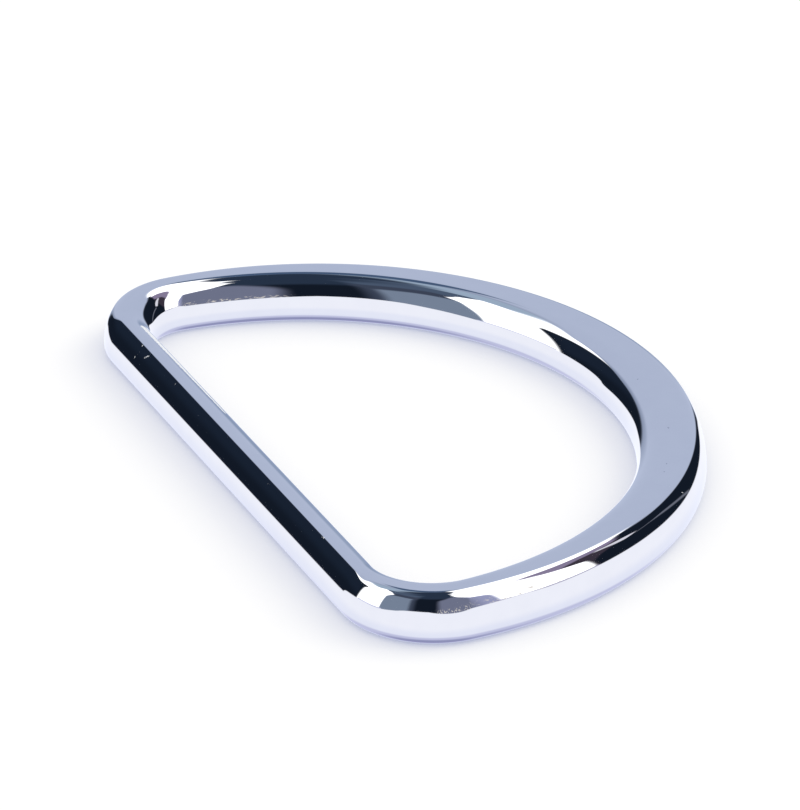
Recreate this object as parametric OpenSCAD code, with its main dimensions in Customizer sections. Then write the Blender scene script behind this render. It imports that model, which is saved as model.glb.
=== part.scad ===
// A cast D ring for a strap or a bag, lying on its back face.
// The straight bar runs along Y, the bow swells towards +X, and +Z is up.
// The origin is in the middle of the ring's depth and width, on the face that it lies on.

/* [Opening] */
// Width of the opening along the bar, which is the widest strap that it takes
opening_w = 38; // [24:0.5:60]
// Depth of the opening from the bar to the crown of the bow
opening_d = 21.3; // [14:0.1:26]
// Corner radius of the opening at the ends of the bar
opening_corner_r = 3; // [1.5:0.1:5]

/* [Ring] */
// Width of the straight bar, seen from above
bar_w = 2.75; // [2.7:0.05:5]
// Width of the band beside the opening, where the bow leaves the corners
side_w = 3.1; // [2.8:0.05:6]
// Width of the band at the crown of the bow
crown_w = 4; // [2.8:0.05:8]
// Thickness of the ring
ring_h = 2.8; // [2.75:0.05:5]
// Radius of the outer corners at the ends of the bar
corner_r = 5.4; // [4:0.1:7]

/* [Edges] */
// How far the outer top edge is rounded off across the top face
outer_reach = 1.15; // [0.9:0.05:1.2]
// How far the outer top edge is rounded off down the side
outer_drop = 2.1; // [1.25:0.05:2.15]
// Radius of the outer top edge where it runs into the top face
outer_crest_r = 0.75; // [0.5:0.05:0.85]
// How far the inner top edge is rounded off across the top face
inner_reach = 1.5; // [1.1:0.05:1.55]
// How far the inner top edge is rounded off down the side
inner_drop = 1.9; // [1.6:0.05:2.15]
// Radius of the inner top edge where it runs into the top face
inner_crest_r = 1.3; // [0.6:0.05:1.4]
// Radius of both bottom edges
base_r = 0.6; // [0.2:0.05:0.65]

/* [Hidden] */
$fn = 64;
// The flatter arcs of the edges are large, so they take more segments
flank_fn = 128;
ring_w = opening_w + 2 * side_w;
ring_d = bar_w + opening_d + crown_w;
// The opening's cutter runs this far past the top and bottom faces
overrun = 1;
// Arcs that meet at a tangent stand this far proud of each other, which leaves no crack between them
lap = 0.001;

// Radius of a bow that is one arc, tangent to both corner arcs of a D
function bow_r(depth, width, corner) =
    let (rise = depth - corner, half = width / 2 - corner)
    (rise * rise + half * half - corner * corner) / (2 * (rise - corner));

// Radius of the flatter arc of an edge, tangent to the side and to the crest arc
function flank_r(reach, drop, crest_r) =
    (reach * reach + drop * drop - 2 * drop * crest_r) / (2 * (reach - crest_r));

// Section of the ring's material beside an edge: the side is at x = 0 and the material at x < 0
module edge_section(reach, drop, crest_r) {
    flank = flank_r(reach, drop, crest_r);
    start = ring_h - drop;
    // The height where the flatter arc gives way to the crest arc
    change = start + flank * (drop - crest_r) / (flank - crest_r);
    intersection() {
        translate([-reach, 0]) square([reach, ring_h]);
        union() {
            translate([-reach, 0]) square([reach - base_r, start]);
            translate([-base_r, base_r]) circle(r = base_r + lap);
            translate([-reach, base_r]) square([reach, start - base_r]);
            intersection() {
                translate([-reach, base_r]) square([reach, change - base_r]);
                translate([-flank, start]) circle(r = flank + lap / 2, $fn = flank_fn);
            }
            translate([-reach, ring_h - crest_r]) circle(r = crest_r + lap);
        }
    }
}

// Section of a full plate with the ring's outer edge, from x = 0 to the outline at x = $outline_r
module plate_section() {
    square([$outline_r - outer_reach, ring_h]);
    translate([$outline_r, 0]) edge_section(outer_reach, outer_drop, outer_crest_r);
}

// Section of the cutter for the opening, which leaves the ring's inner edge behind
module cutter_section() {
    difference() {
        translate([0, -overrun]) square([$outline_r + inner_reach, ring_h + 2 * overrun]);
        translate([$outline_r, 0]) mirror([1, 0]) edge_section(inner_reach, inner_drop, inner_crest_r);
    }
}

// Sweeps a section round the outline of a D and fills the middle from low to high.
// The outline's bar side is at x = 0, and the section is drawn outwards from an arc's centre.
module sweep_d(depth, width, corner, low, high) {
    bow = bow_r(depth, width, corner);
    bow_x = depth - bow;
    half = width / 2 - corner;
    turn = atan2(half, corner - bow_x);
    translate([bow_x, 0, 0])
        rotate_extrude(angle = 2 * turn, start = -turn)
            let ($outline_r = bow) children();
    for (side = [-1, 1])
        translate([corner, side * half, 0])
            rotate_extrude()
                let ($outline_r = corner + lap) children();
    translate([corner, half, 0])
        rotate([90, 0, 0])
            linear_extrude(2 * half)
                mirror([1, 0]) let ($outline_r = corner) children();
    translate([0, 0, low])
        linear_extrude(high - low)
            polygon([[corner, -half], [max(bow_x, corner) + corner / 2, 0], [corner, half], [corner / 2, 0]]);
}

// The whole ring: one cast piece
module d_ring() {
    color("silver")
        translate([-ring_d / 2, 0, 0])
            difference() {
                sweep_d(ring_d, ring_w, corner_r, 0, ring_h) plate_section();
                translate([bar_w, 0, 0])
                    sweep_d(opening_d, opening_w, opening_corner_r, -overrun, ring_h + overrun) cutter_section();
            }
}

d_ring();
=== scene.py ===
"""A chromed D ring for a strap, lying on a pale floor under soft studio light."""

import math

import bpy
import numpy as np
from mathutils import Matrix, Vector


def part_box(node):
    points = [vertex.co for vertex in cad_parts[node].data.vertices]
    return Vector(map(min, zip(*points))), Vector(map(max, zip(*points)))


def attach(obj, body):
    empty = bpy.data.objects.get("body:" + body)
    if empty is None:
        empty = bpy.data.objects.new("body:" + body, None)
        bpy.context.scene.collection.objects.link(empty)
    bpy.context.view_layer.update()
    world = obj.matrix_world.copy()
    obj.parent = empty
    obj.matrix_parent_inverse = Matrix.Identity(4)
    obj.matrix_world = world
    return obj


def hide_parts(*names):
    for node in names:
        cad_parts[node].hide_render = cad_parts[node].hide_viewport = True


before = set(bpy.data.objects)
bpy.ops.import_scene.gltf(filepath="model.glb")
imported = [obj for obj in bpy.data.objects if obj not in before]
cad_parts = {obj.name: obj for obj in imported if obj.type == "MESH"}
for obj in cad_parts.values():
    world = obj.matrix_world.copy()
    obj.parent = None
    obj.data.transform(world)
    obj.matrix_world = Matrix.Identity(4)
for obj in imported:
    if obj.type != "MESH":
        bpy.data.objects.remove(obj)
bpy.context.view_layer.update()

MM = 0.001

# Driving sizes of the ring, in metres; the rest comes from the frame's box
opening_w = 38 * MM
opening_d = 21.3 * MM
opening_corner_r = 3 * MM
bar_w = 2.75 * MM
side_w = 3.1 * MM
corner_r = 5.4 * MM
# The photo shows the bar's outer side this much nearer to the bow than the solid has it
bar_inset = 0.25 * MM
# The photo shows the bar this much narrower than the solid has it
bar_trim = 0.16 * MM
# The dressed surface stays this far inside the solid's bow and ends
margin = 0.004 * MM
ring_low, ring_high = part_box("d_ring")
ring_d = ring_high.x - ring_low.x
ring_w = opening_w + 2 * side_w
ring_h = ring_high.z - ring_low.z

# Each top edge: how far it is rounded across the top, how far down the side, and its crest radius
outer_edge = np.array([1.15, 2.1, 0.75]) * MM
inner_edge = np.array([1.5, 1.9, 1.3]) * MM
# Along the bar the outer edge is a plainer bevel with a tighter crest
bar_edge = np.array([0.93, 2.1, 0.21]) * MM
# The bar's edge has faded out this many degrees round the corners
bar_edge_fade = 14
base_r = 0.6 * MM

# Stations round half of an outline: on its bow, on its corner, and on the whole bar.
# The normal's angle where the bow's spacing gives way to the corner's is close to where the arcs meet.
bow_steps = 130
corner_steps = 64
bar_steps = 60
knee = math.radians(90)
# Rows of points on each part of the section: the bottom edge, the wall, the two arcs of the top edge and
# the flat top between them
base_rows = 14
wall_rows = 2
flank_rows = 28
crest_rows = 26
top_rows = 4

# The photograph's camera, measured from the point of the floor in the middle of its picture
view_target = Vector((-0.43, 5.02, 0)) * MM
view_azimuth = math.radians(24.5)
view_elevation = math.radians(26.6)
view_distance = 279 * MM
view_lens = 214.6
sensor_width = 36
nearest_seen = 10 * MM


class Outline:
    """The outline of a D: a straight side at x = side, two corner arcs and a bow arc, all tangent."""

    def __init__(self, side, depth, width, corner):
        self.side, self.corner = side, corner
        self.half = width / 2 - corner
        rise = depth - corner
        self.bow_r = (rise**2 + self.half**2 - corner**2) / (2 * (rise - corner))
        self.bow_x = side + depth - self.bow_r
        self.turn = math.atan2(self.half, side + corner - self.bow_x)

    def at(self, angle):
        """The point of the bow or of the upper corner whose normal has this angle, from 0 to pi."""
        normal = np.array([math.cos(angle), math.sin(angle)])
        if angle <= self.turn:
            return np.array([self.bow_x, 0.0]) + self.bow_r * normal, normal
        return np.array([self.side + self.corner, self.half]) + self.corner * normal, normal

    def bar(self, share):
        """A point of the straight side, from the upper corner at share 0 to the lower one at share 1."""
        return np.array([self.side, self.half * (1 - 2 * share)]), np.array([-1.0, 0.0])


def stations(outline):
    """Points and normals all round an outline, at the same normal angles for every outline."""
    angles = np.r_[np.linspace(0, knee, bow_steps, endpoint=False),
                   np.linspace(knee, math.pi, corner_steps, endpoint=False)]
    upper = [outline.at(angle) for angle in angles]
    bar = [outline.bar(share) for share in np.linspace(0, 1, bar_steps)]
    mirror = np.array([1, -1])
    lower = [(point * mirror, normal * mirror) for point, normal in upper[:0:-1]]
    points, normals = zip(*(upper + bar + lower))
    return np.array(points), np.array(normals)


def arc(centre, radius, start, end, count):
    """Points of an arc in a section, with the angles in radians."""
    turn = np.linspace(start, end, count)
    return np.c_[centre[0] + radius * np.cos(turn), centre[1] + radius * np.sin(turn)]


def edge_section(reach, drop, crest_r):
    """One side of the ring's section, bottom to top, with the side at 0 and the material below 0."""
    flank_r = (reach**2 + drop**2 - 2 * drop * crest_r) / (2 * (reach - crest_r))
    start = ring_h - drop
    change = math.asin((drop - crest_r) / (flank_r - crest_r))
    wall_z = np.linspace(base_r, start, wall_rows + 2)[1:-1]
    return np.vstack([
        arc((-base_r, base_r), base_r, -math.pi / 2, 0, base_rows),
        np.c_[np.zeros_like(wall_z), wall_z],
        arc((-flank_r, start), flank_r, 0, change, flank_rows),
        arc((-reach, ring_h - crest_r), crest_r, change, math.pi / 2, crest_rows)[1:],
    ])


def bar_share(normals):
    """0 on the bow and 1 on the bar, changing smoothly round the corners."""
    turn = np.degrees(np.arccos(np.clip(-normals[:, 0], -1, 1)))
    share = np.clip(1 - turn / bar_edge_fade, 0, 1)
    return share * share * (3 - 2 * share)


def sweep(sections, points, normals):
    """Rows of 3-D points: a section set up at each station."""
    flat = points[:, None] + normals[:, None] * sections[:, :, :1]
    return np.concatenate([flat, sections[:, :, 1:]], axis=2)


def outer_sections(normals):
    """The outer edge's section at each station."""
    edges = [outer_edge + (bar_edge - outer_edge) * share for share in bar_share(normals)]
    return np.array([edge_section(*edge) for edge in edges])


def outer_rows(side):
    """The outer wall and top edge all round the ring, from the bottom up."""
    outline = Outline(side, ring_d - bar_inset - margin, ring_w - 2 * margin, corner_r)
    points, normals = stations(outline)
    return sweep(outer_sections(normals), points, normals)


def inner_rows(side):
    """The top edge and wall all round the opening, from the top down."""
    depth = opening_d - bar_inset + bar_trim
    outline = Outline(side + bar_w - bar_trim, depth, opening_w, opening_corner_r)
    points, normals = stations(outline)
    section = edge_section(*inner_edge)
    sections = np.broadcast_to(section, (len(points), *section.shape))
    return sweep(sections, points, -normals)[:, ::-1]


def closed_quads(count, width):
    """Quads between the points of count sections of width points, closed both ways."""
    index = np.arange(count * width).reshape(count, width)
    after = np.roll(index, -1, axis=0)
    beside = np.roll(index, -1, axis=1)
    after_beside = np.roll(after, -1, axis=1)
    return np.stack([index, after, after_beside, beside], axis=-1).reshape(-1, 4)


def ring_mesh():
    """The whole ring as one closed mesh of quads."""
    side = ring_low.x + bar_inset
    outer = outer_rows(side)
    inner = inner_rows(side)
    share = np.linspace(0, 1, top_rows + 2)[1:-1, None]
    top = outer[:, -1:] * (1 - share) + inner[:, :1] * share
    rows = np.concatenate([outer, top, inner], axis=1)
    quads = closed_quads(*rows.shape[:2])
    mesh = bpy.data.meshes.new("d_ring_polished")
    mesh.from_pydata(rows.reshape(-1, 3).tolist(), [], quads.tolist())
    mesh.shade_smooth()
    mesh.validate()
    return mesh


class Nodes:
    """Builds a node tree with short calls."""

    def __init__(self, tree):
        self.tree = tree
        tree.nodes.clear()

    def add(self, kind, inputs=None, **settings):
        node = self.tree.nodes.new(kind)
        for name, value in settings.items():
            setattr(node, name, value)
        for name, value in (inputs or {}).items():
            self.put(node.inputs[name], value)
        return node

    def put(self, socket, value):
        if isinstance(value, bpy.types.NodeSocket):
            self.tree.links.new(value, socket)
        else:
            socket.default_value = value

    def math(self, operation, *values):
        return self.add("ShaderNodeMath", dict(enumerate(values)), operation=operation).outputs[0]

    def vector(self, operation, *values):
        return self.add("ShaderNodeVectorMath", dict(enumerate(values)), operation=operation).outputs[0]

    def noise(self, place, scale, detail):
        return self.add("ShaderNodeTexNoise", {"Vector": place, "Scale": scale, "Detail": detail}).outputs

    def ramp(self, value, low, high):
        """Rises smoothly from 0 at low to 1 at high, and falls where high is below low."""
        node = self.add("ShaderNodeMapRange", {0: value, 1: low, 2: high}, interpolation_type="SMOOTHSTEP")
        return node.outputs[0]

    def blend(self, share, below, above):
        """A colour between below, at share 0, and above, at share 1."""
        return self.add("ShaderNodeMix", {0: share, 6: below, 7: above}, data_type="RGBA").outputs[2]


# The plating's tint varies between these two with its haze
thin_tint = (0.71, 0.715, 0.745, 1)
thick_tint = (0.75, 0.755, 0.775, 1)
metal_tint = np.mean([thin_tint, thick_tint], axis=0)[:3]


def seen(red, green, blue):
    """The light that shows as this 0 to 255 sRGB colour when the metal mirrors it."""
    display = np.array([red, green, blue]) / 255
    linear = np.where(display <= 0.04045, display / 12.92, ((display + 0.055) / 1.055) ** 2.4)
    return (*(linear / metal_tint), 1)


FLOOR_FAR = seen(236, 238, 249)
FLOOR_NEAR = seen(224, 228, 245)
FLOOR_SHADE = seen(188, 191, 222)
FLOOR_DARK = seen(140, 143, 182)
GRAY = seen(170, 180, 205)
BLUE_GRAY = seen(126, 141, 170)
DIM_GRAY = seen(130, 141, 166)
PALE_SLATE = seen(116, 129, 150)
SLATE = seen(108, 113, 136)
DUSK = seen(58, 66, 84)
LILAC = seen(148, 152, 186)
MAUVE = seen(132, 122, 150)
DEEP_BLUE = seen(66, 86, 116)
STEEL = seen(72, 86, 108)
NIGHT = seen(38, 50, 69)
NAVY = seen(24, 33, 48)
BLACK = seen(18, 25, 37)
UMBER = seen(56, 50, 62)
STREAK = seen(212, 212, 224)
RAY = seen(150, 168, 190)
THREAD = seen(104, 108, 122)
GAP = seen(150, 148, 176)
BEIGE = seen(214, 208, 202)
# Brighter than the picture can show
WHITE = (2.2, 2.2, 2.2, 1)

# The studio as the ring mirrors it. Each card has the softness of its edges in degrees, its colour and a
# convex outline of azimuths and elevations in degrees, counterclockwise. Azimuth 0 is +Y and 90 is +X, and
# the azimuths run from -150 to 210. Later cards lie over earlier ones.
SEAM = 210
CARDS = {
    "ceiling": (14, NIGHT, [(-170, 56), (230, 56), (230, 100), (-170, 100)]),
    "left_ceiling": (16, STEEL, [(-126, 52), (-20, 52), (-20, 80), (-126, 76)]),
    "left_dusk": (8, DUSK, [(-132, -10), (-86, -10), (-86, 62), (-132, 64)]),
    "left_slate": (6, PALE_SLATE, [(-126, -10), (-86, -10), (-88, 42), (-104, 48), (-126, 46)]),
    "near_slate": (10, SLATE, [(152, -10), (199, -10), (198, 40), (184, 56), (172, 64), (152, 64)]),
    "near_lilac": (8, LILAC, [(146, -10), (157, -10), (157, 50), (146, 66)]),
    "left_white": (2, WHITE, [(-91, -10), (-50, -10), (10, 38), (9, 45), (-10, 58), (-40, 62), (-74, 60),
                              (-92, 52), (-94, 34)]),
    "left_panel": (3, BLACK, [(-59, -10), (26, -36), (-24, 20), (-35, 28), (-46, 32), (-61, 33),
                              (-65, 30)]),
    "left_navy": (12, NAVY, [(-60, 4), (-8, 4), (-23, 22), (-36, 30), (-60, 32)]),
    "upper_white": (3, WHITE, [(25, 30), (150, 30), (162, 60), (158, 69), (146, 77), (75, 80), (48, 70),
                               (31, 57), (27, 46)]),
    "right_mauve": (4, MAUVE, [(66, 44), (80, -20), (119, -20), (121, 38), (116, 50), (104, 60), (92, 62),
                               (80, 60), (69, 52)]),
    "right_umber": (4, UMBER, [(84, 40), (84, -20), (119, -20), (121, 36), (114, 43), (100, 47)]),
    "right_panel": (3, BLACK, [(30, -30), (118, -30), (118, 16), (92, 38), (78, 44), (60, 46)]),
    "right_streak": (2, STREAK, [(97, 20), (102, 21), (103, 28), (98, 42), (93, 44), (94, 36)]),
    "right_thread": (1.2, THREAD, [(72.8, -9), (99, 17), (97.6, 18), (84, 4.6), (71.8, -8.4)]),
    "wall_haze": (8, RAY, [(-50, 54), (14, 44), (22, 50), (20, 60), (0, 68), (-45, 70)]),
    "wall_edge": (3, DIM_GRAY, [(18, -31), (28, -31), (28, 58), (4, 58), (-22, 51), (-31, 45), (-35, 41),
                                (-31, 28), (-27, 16)]),
    "wall_left": (14, GRAY, [(20, -28), (30, -28), (30, 54), (-10, 54), (-32, 48), (-37, 43), (-30, 28),
                             (-20, 14)]),
    "wall_corner": (4, DEEP_BLUE, [(14, 44), (30, 40), (29, 58), (6, 60)]),
    "wall_right": (6, GRAY, [(16, -26), (24, -30), (30, -30), (41, -18), (54, 0), (61, 11), (67, 22),
                             (69, 36), (63, 42), (52, 44), (30, 42), (16, 40)]),
    "wall_low": (12, BLUE_GRAY, [(29, -40), (38, -40), (38, 4), (29, 6)]),
    "softbox": (2, WHITE, [(119, -6), (150, -6), (150, 40), (146, 66), (119, 66)]),
    "left_gap": (1, FLOOR_SHADE, [(-95, 3), (-62, -3), (-62, 1), (-95, 6.5)]),
    "floor_gap": (1, GAP, [(117, -2), (152, 6), (152, 16.8), (135, 12.8), (118, 8.6)]),
}

# Where the mirrored floor ends: azimuths and elevations in degrees, and half the width of that edge
FLOOR_EDGE = [(-150, 17), (-130, 16), (-110, 10), (-90, 4), (-70, 1), (-56, -2), (-44, -5), (-38, -8),
              (-33, -12), (-26, -12), (-13, -13), (0, -17), (12, -20), (30, -22), (50, -14), (70, -10),
              (88, -4), (98, 0), (118, 7), (135, 11), (150, 15), (180, 13), (210, 17)]
floor_softness = 0.6
# The edge curve's lowest elevation and its range
edge_low = -30
edge_range = 60
# The mirrored floor darkens downwards between these elevations: near the ring, in its shade and beneath it
near_fall = (-14, -30)
shade_fall = (-29, -46)
dark_fall = (-52, -74)

# Small bright things stand on the floor's far edge here. They are the peaks of a noise that is stretched
# upwards: they begin at the first of its two levels and are full at the second.
CLUTTER = [(128, -5), (200, -5), (200, 20), (128, 26)]
clutter_softness = 8
clutter_squash = 0.3
clutter_scale = 0.7
clutter_detail = 3
clutter_levels = (0.56, 0.62)

# The plain light on the floor, and what is left of it in light that the metal throws back onto the
# floor, which keeps the ring's contact shadow
plain_light = 0.96
thrown_light = 0.4

# The floor reaches this far from the middle, in metres
floor_reach = 1.5
# The floor scatters light, and glows a little, which keeps its shadows pale and blue
paper_colour = (0.76, 0.71, 0.50, 1)
paper_glow = (0.23, 0.28, 0.50, 1)

# The lamp's place and diameter in metres, and its power in watts
lamp_place = Vector((0.5, -0.02, 0.36))
lamp_size = 0.5
lamp_energy = 1.1


def card_share(nodes, azimuth, elevation, soft, corners):
    """1 inside a convex card and 0 outside it, with soft edges."""
    share = None
    for (a, e), (next_a, next_e) in zip(corners, corners[1:] + corners[:1]):
        length = math.hypot(next_a - a, next_e - e)
        along_a, along_e = (next_a - a) / length, (next_e - e) / length
        offset = along_e * a - along_a * e
        inside = nodes.math("MULTIPLY_ADD", azimuth, -along_e, offset)
        inside = nodes.math("MULTIPLY_ADD", elevation, along_a, inside)
        edge = nodes.ramp(inside, -soft / 2, soft / 2)
        share = edge if share is None else nodes.math("MULTIPLY", share, edge)
    return share


def floor_edge(nodes, azimuth):
    """The elevation of the mirrored floor's edge at an azimuth."""
    place = nodes.math("MULTIPLY_ADD", azimuth, 1 / 360, 1 - SEAM / 360)
    curve = nodes.add("ShaderNodeFloatCurve", {"Value": place})
    points = curve.mapping.curves[0].points
    spots = [((edge_azimuth - SEAM) / 360 + 1, (edge_elevation - edge_low) / edge_range)
             for edge_azimuth, edge_elevation in FLOOR_EDGE]
    points[0].location = spots[0]
    points[1].location = spots[-1]
    for spot in spots[1:-1]:
        points.new(*spot)
    curve.mapping.update()
    return nodes.math("MULTIPLY_ADD", curve.outputs[0], edge_range, edge_low)


def floor_colour(nodes, elevation):
    """The floor is pale further out and lies in the ring's own shadow right below it."""
    colour = nodes.blend(nodes.ramp(elevation, *near_fall), FLOOR_FAR, FLOOR_NEAR)
    colour = nodes.blend(nodes.ramp(elevation, *shade_fall), colour, FLOOR_SHADE)
    return nodes.blend(nodes.ramp(elevation, *dark_fall), colour, FLOOR_DARK)


def clutter_share(nodes, azimuth, elevation):
    """1 on the small bright things along the floor's far edge, and 0 elsewhere."""
    squashed = nodes.math("MULTIPLY", elevation, clutter_squash)
    spots = nodes.add("ShaderNodeCombineXYZ", {0: azimuth, 1: squashed}).outputs[0]
    grain = nodes.noise(spots, clutter_scale, clutter_detail)[0]
    area = card_share(nodes, azimuth, elevation, clutter_softness, CLUTTER)
    return nodes.math("MULTIPLY", nodes.ramp(grain, *clutter_levels), area)


def studio_colour(nodes, direction):
    """The colour of the studio in a direction."""
    split = nodes.add("ShaderNodeSeparateXYZ", {0: direction}).outputs
    azimuth = nodes.math("DEGREES", nodes.math("ARCTAN2", split[0], split[1]))
    azimuth = nodes.math("WRAP", azimuth, SEAM, SEAM - 360)
    elevation = nodes.math("DEGREES", nodes.math("ARCSINE", split[2]))
    colour = BLACK
    for soft, tint, corners in CARDS.values():
        colour = nodes.blend(card_share(nodes, azimuth, elevation, soft, corners), colour, tint)
    colour = nodes.blend(clutter_share(nodes, azimuth, elevation), colour, BEIGE)
    above = nodes.math("SUBTRACT", elevation, floor_edge(nodes, azimuth))
    on_floor = nodes.ramp(above, floor_softness, -floor_softness)
    return nodes.blend(on_floor, colour, floor_colour(nodes, elevation))


def make_world():
    """The studio round the ring, which only the metal mirrors, and plain soft light for everything else."""
    world = bpy.data.worlds.new("studio")
    bpy.context.scene.world = world
    world.use_nodes = True
    world.cycles.sampling_method = "NONE"
    nodes = Nodes(world.node_tree)
    path = nodes.add("ShaderNodeLightPath").outputs
    strength = nodes.math("MULTIPLY_ADD", path["Is Glossy Ray"], thrown_light - plain_light, plain_light)
    plain = nodes.add("ShaderNodeBackground", {"Color": (1, 1, 1, 1), "Strength": strength})
    direction = nodes.add("ShaderNodeTexCoord").outputs["Generated"]
    studio = nodes.add("ShaderNodeBackground", {"Color": studio_colour(nodes, direction)})
    # Only a ray that hasn't bounced off the floor yet mirrors the studio
    straight = nodes.math("LESS_THAN", path["Diffuse Depth"], 0.5)
    mirrored = nodes.math("MULTIPLY", path["Is Glossy Ray"], straight)
    light = nodes.add("ShaderNodeMixShader", {0: mirrored, 1: plain.outputs[0], 2: studio.outputs[0]})
    nodes.add("ShaderNodeOutputWorld", {"Surface": light.outputs[0]})


def make_floor():
    """A wide pale floor that takes the ring's soft shadow, and that the metal doesn't mirror."""
    mesh = bpy.data.meshes.new("floor")
    corners = [Vector(corner) * floor_reach for corner in ((-1, -1, 0), (1, -1, 0), (1, 1, 0), (-1, 1, 0))]
    mesh.from_pydata(corners, [], [(0, 1, 2, 3)])
    floor = bpy.data.objects.new("floor", mesh)
    bpy.context.scene.collection.objects.link(floor)
    material = bpy.data.materials.new("pale_paper")
    material.use_nodes = True
    nodes = Nodes(material.node_tree)
    paper = nodes.add("ShaderNodeBsdfDiffuse", {"Color": paper_colour})
    glow = nodes.add("ShaderNodeEmission", {"Color": paper_glow})
    both = nodes.add("ShaderNodeAddShader", {0: paper.outputs[0], 1: glow.outputs[0]})
    nodes.add("ShaderNodeOutputMaterial", {"Surface": both.outputs[0]})
    mesh.materials.append(material)
    floor.visible_glossy = False


def make_lamp():
    """A large soft lamp over the bow's side of the ring, which the metal doesn't mirror."""
    data = bpy.data.lights.new("soft_lamp", "AREA")
    data.shape = "DISK"
    data.size = lamp_size
    data.energy = lamp_energy
    lamp = bpy.data.objects.new("soft_lamp", data)
    bpy.context.scene.collection.objects.link(lamp)
    lamp.location = lamp_place
    lamp.rotation_euler = (-lamp_place).to_track_quat("-Z", "Y").to_euler()
    lamp.visible_glossy = False


def make_camera():
    """The photograph's camera."""
    data = bpy.data.cameras.new("camera")
    data.lens = view_lens
    data.sensor_width = sensor_width
    camera = bpy.data.objects.new("camera", data)
    bpy.context.scene.collection.objects.link(camera)
    level = Vector((-math.sin(view_azimuth), -math.cos(view_azimuth), 0)) * math.cos(view_elevation)
    back = level + Vector((0, 0, math.sin(view_elevation)))
    camera.location = view_target + back * view_distance
    camera.rotation_euler = (-back).to_track_quat("-Z", "Y").to_euler()
    data.clip_start = nearest_seen
    bpy.context.scene.camera = camera


# Scuffs, dust and a painted reflection on the plating: start, end and half width at the start, in
# millimetres
DUST_AND_PAINTED_SHEEN = {
    "crack_top": ((-13.04, 13.35, 2.74), (-13.34, 13.24, 2.40), 0.07),
    "crack_middle": ((-13.34, 13.24, 2.40), (-13.54, 13.45, 2.02), 0.07),
    "crack_foot": ((-13.54, 13.45, 2.02), (-13.70, 13.63, 1.59), 0.08),
    "crack_fork": ((-13.31, 12.38, 2.39), (-13.07, 12.03, 2.69), 0.07),
    "scuff": ((-13.58, 12.67, 1.93), (-13.73, 12.95, 1.58), 0.06),
    # A painted reflection of the ring's own far inner wall: a bright line along the bar's inner top edge
    "painted_rim_reflection": ((-11.99, 15.7, 2.60), (-11.95, 3.5, 2.58), 0.32),
    "speck_high": ((-13.16, 8.1, 2.6), (-13.14, 8.1, 2.64), 0.06),
    "speck_low": ((-13.57, 8.5, 2.0), (-13.56, 8.5, 2.04), 0.06),
    "speck_third": ((-13.33, 4.3, 2.35), (-13.32, 4.3, 2.4), 0.05),
    "speck_middle": ((-13.17, -5.6, 2.6), (-13.2, -5.3, 2.55), 0.06),
    "speck_near": ((-13.25, -11.0, 2.5), (-13.24, -11.0, 2.54), 0.05),
    "chip": ((-13.01, -12.7, 2.76), (-13.1, -12.4, 2.7), 0.07),
    "scratch": ((7.3, -15.3, 2.3), (7.7, -15.2, 1.9), 0.04),
}
PITS = {
    "pit_high": ((11.0, -2.6, 2.8), (10.9, -2.65, 2.8), 0.08),
    "pit_middle": ((9.75, -8.85, 2.8), (9.7, -9.0, 2.8), 0.09),
    "pit_low": ((7.65, -12.7, 2.8), (7.6, -12.8, 2.8), 0.07),
    "pit_last": ((7.1, -13.5, 2.8), (7.05, -13.6, 2.8), 0.06),
}
# How much narrower a mark is at its end, and the share of its half width that it covers in full
mark_taper = 0.7
mark_core = 0.4
# A noise of this scale pushes the marks' edges about by up to this much
ragged_scale = 6000
ragged_detail = 2
ragged_reach = 0.07 * MM
# Dust, and the painted reflection along the bar's inner edge, cover the metal in this colour, hide this
# share of its metallic look and add this roughness
dust_and_sheen_tint = (0.86, 0.87, 0.88, 1)
dust_and_sheen_cover = 0.9
dust_and_sheen_roughness = 0.5
# A pit darkens the metal towards this colour, by this share
pit_tint = (0.35, 0.36, 0.40, 1)
pit_cover = 0.5
# The haze varies the tint and the roughness, and the waves are low bumps
haze_scale = 900
haze_detail = 4
haze_roughness = (0.02, 0.05)
wave_scale = 350
wave_detail = 2
wave_height = 0.0003 * MM


def near_line(nodes, place, start, end, reach):
    """1 on a line between two points in millimetres, fading to 0 at its tapering half width."""
    start, end = Vector(start) * MM, Vector(end) * MM
    along = end - start
    offset = nodes.vector("SUBTRACT", place, start)
    inputs = {0: offset, 1: along / along.length_squared}
    share = nodes.add("ShaderNodeVectorMath", inputs, operation="DOT_PRODUCT").outputs["Value"]
    share = nodes.add("ShaderNodeClamp", {0: share}).outputs[0]
    foot = nodes.add("ShaderNodeVectorMath", {0: along, "Scale": share}, operation="SCALE").outputs[0]
    gap = nodes.add("ShaderNodeVectorMath", {0: offset, 1: foot}, operation="DISTANCE").outputs["Value"]
    width = nodes.math("MULTIPLY_ADD", share, -mark_taper * reach * MM, reach * MM)
    return nodes.ramp(nodes.math("DIVIDE", gap, width), 1, mark_core)


def marks(nodes, place, lines):
    """The strongest of several marks."""
    total = 0
    for start, end, reach in lines.values():
        total = nodes.math("MAXIMUM", total, near_line(nodes, place, start, end, reach))
    return total


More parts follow.
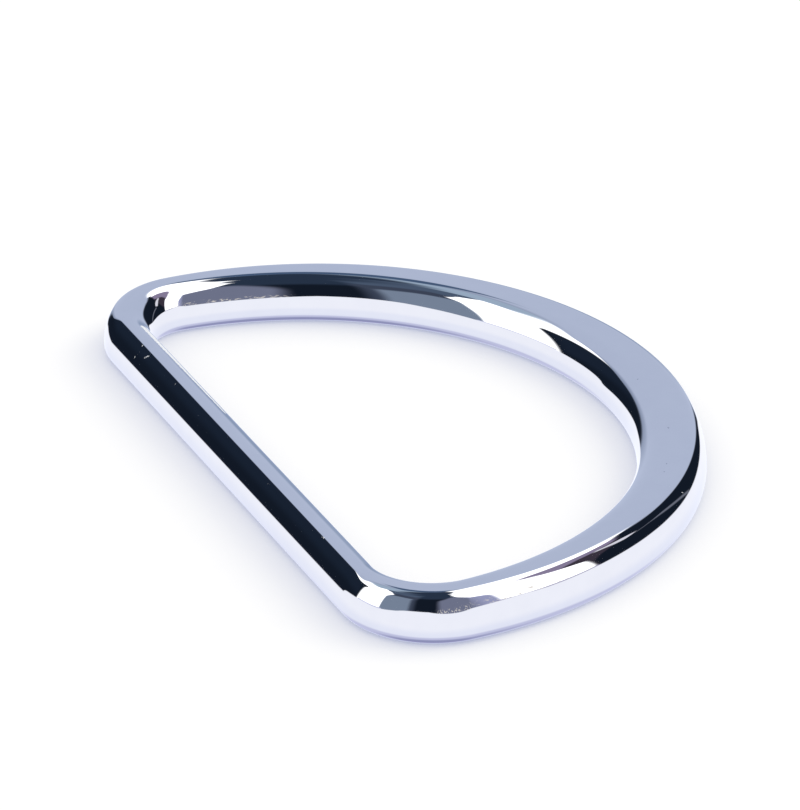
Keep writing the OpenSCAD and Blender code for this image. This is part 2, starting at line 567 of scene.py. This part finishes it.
def ragged_place(nodes, place):
    """The place on the ring, pushed about by a fine noise."""
    jitter = nodes.noise(place, ragged_scale, ragged_detail)["Color"]
    low = nodes.vector("SUBTRACT", place, (ragged_reach,) * 3)
    return nodes.vector("MULTIPLY_ADD", jitter, (2 * ragged_reach,) * 3, low)


def chrome():
    """Bright plating over polished metal, with faint waves, a cracked spot, dust, a painted reflection
    along the bar's inner edge and small pits.
    """
    material = bpy.data.materials.new("chrome_plating")
    material.use_nodes = True
    nodes = Nodes(material.node_tree)
    place = nodes.add("ShaderNodeTexCoord").outputs["Object"]
    ragged = ragged_place(nodes, place)
    # Dust, and the painted reflection of the far inner wall along the bar's inner edge
    dust_and_sheen = marks(nodes, ragged, DUST_AND_PAINTED_SHEEN)
    pits = marks(nodes, ragged, PITS)
    haze = nodes.noise(place, haze_scale, haze_detail)[0]
    tint = nodes.blend(haze, thin_tint, thick_tint)
    tint = nodes.blend(nodes.math("MULTIPLY", pits, pit_cover), tint, pit_tint)
    tint = nodes.blend(dust_and_sheen, tint, dust_and_sheen_tint)
    metal = nodes.math("MULTIPLY_ADD", dust_and_sheen, -dust_and_sheen_cover, 1)
    smooth, dull = haze_roughness
    rough = nodes.add("ShaderNodeMapRange", {0: haze, 3: smooth, 4: dull}).outputs[0]
    rough = nodes.math("MULTIPLY_ADD", dust_and_sheen, dust_and_sheen_roughness, rough)
    wave = nodes.noise(place, wave_scale, wave_detail)[0]
    bump = nodes.add("ShaderNodeBump", {"Height": wave, "Strength": 1.0, "Distance": wave_height})
    look = {"Base Color": tint, "Metallic": metal, "Roughness": rough, "Normal": bump.outputs[0]}
    surface = nodes.add("ShaderNodeBsdfPrincipled", look)
    nodes.add("ShaderNodeOutputMaterial", {"Surface": surface.outputs[0]})
    return material


def make_ring():
    """The dressed ring, which stands for the solid one and doesn't mirror itself."""
    ring = bpy.data.objects.new("d_ring_polished", ring_mesh())
    bpy.context.scene.collection.objects.link(ring)
    ring.data.materials.append(chrome())
    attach(ring, "root")
    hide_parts("d_ring")
    ring.visible_glossy = False


def make_scene():
    make_camera()
    make_world()
    make_floor()
    make_lamp()
    make_ring()
    bpy.context.scene.view_settings.view_transform = "Standard"


make_scene()
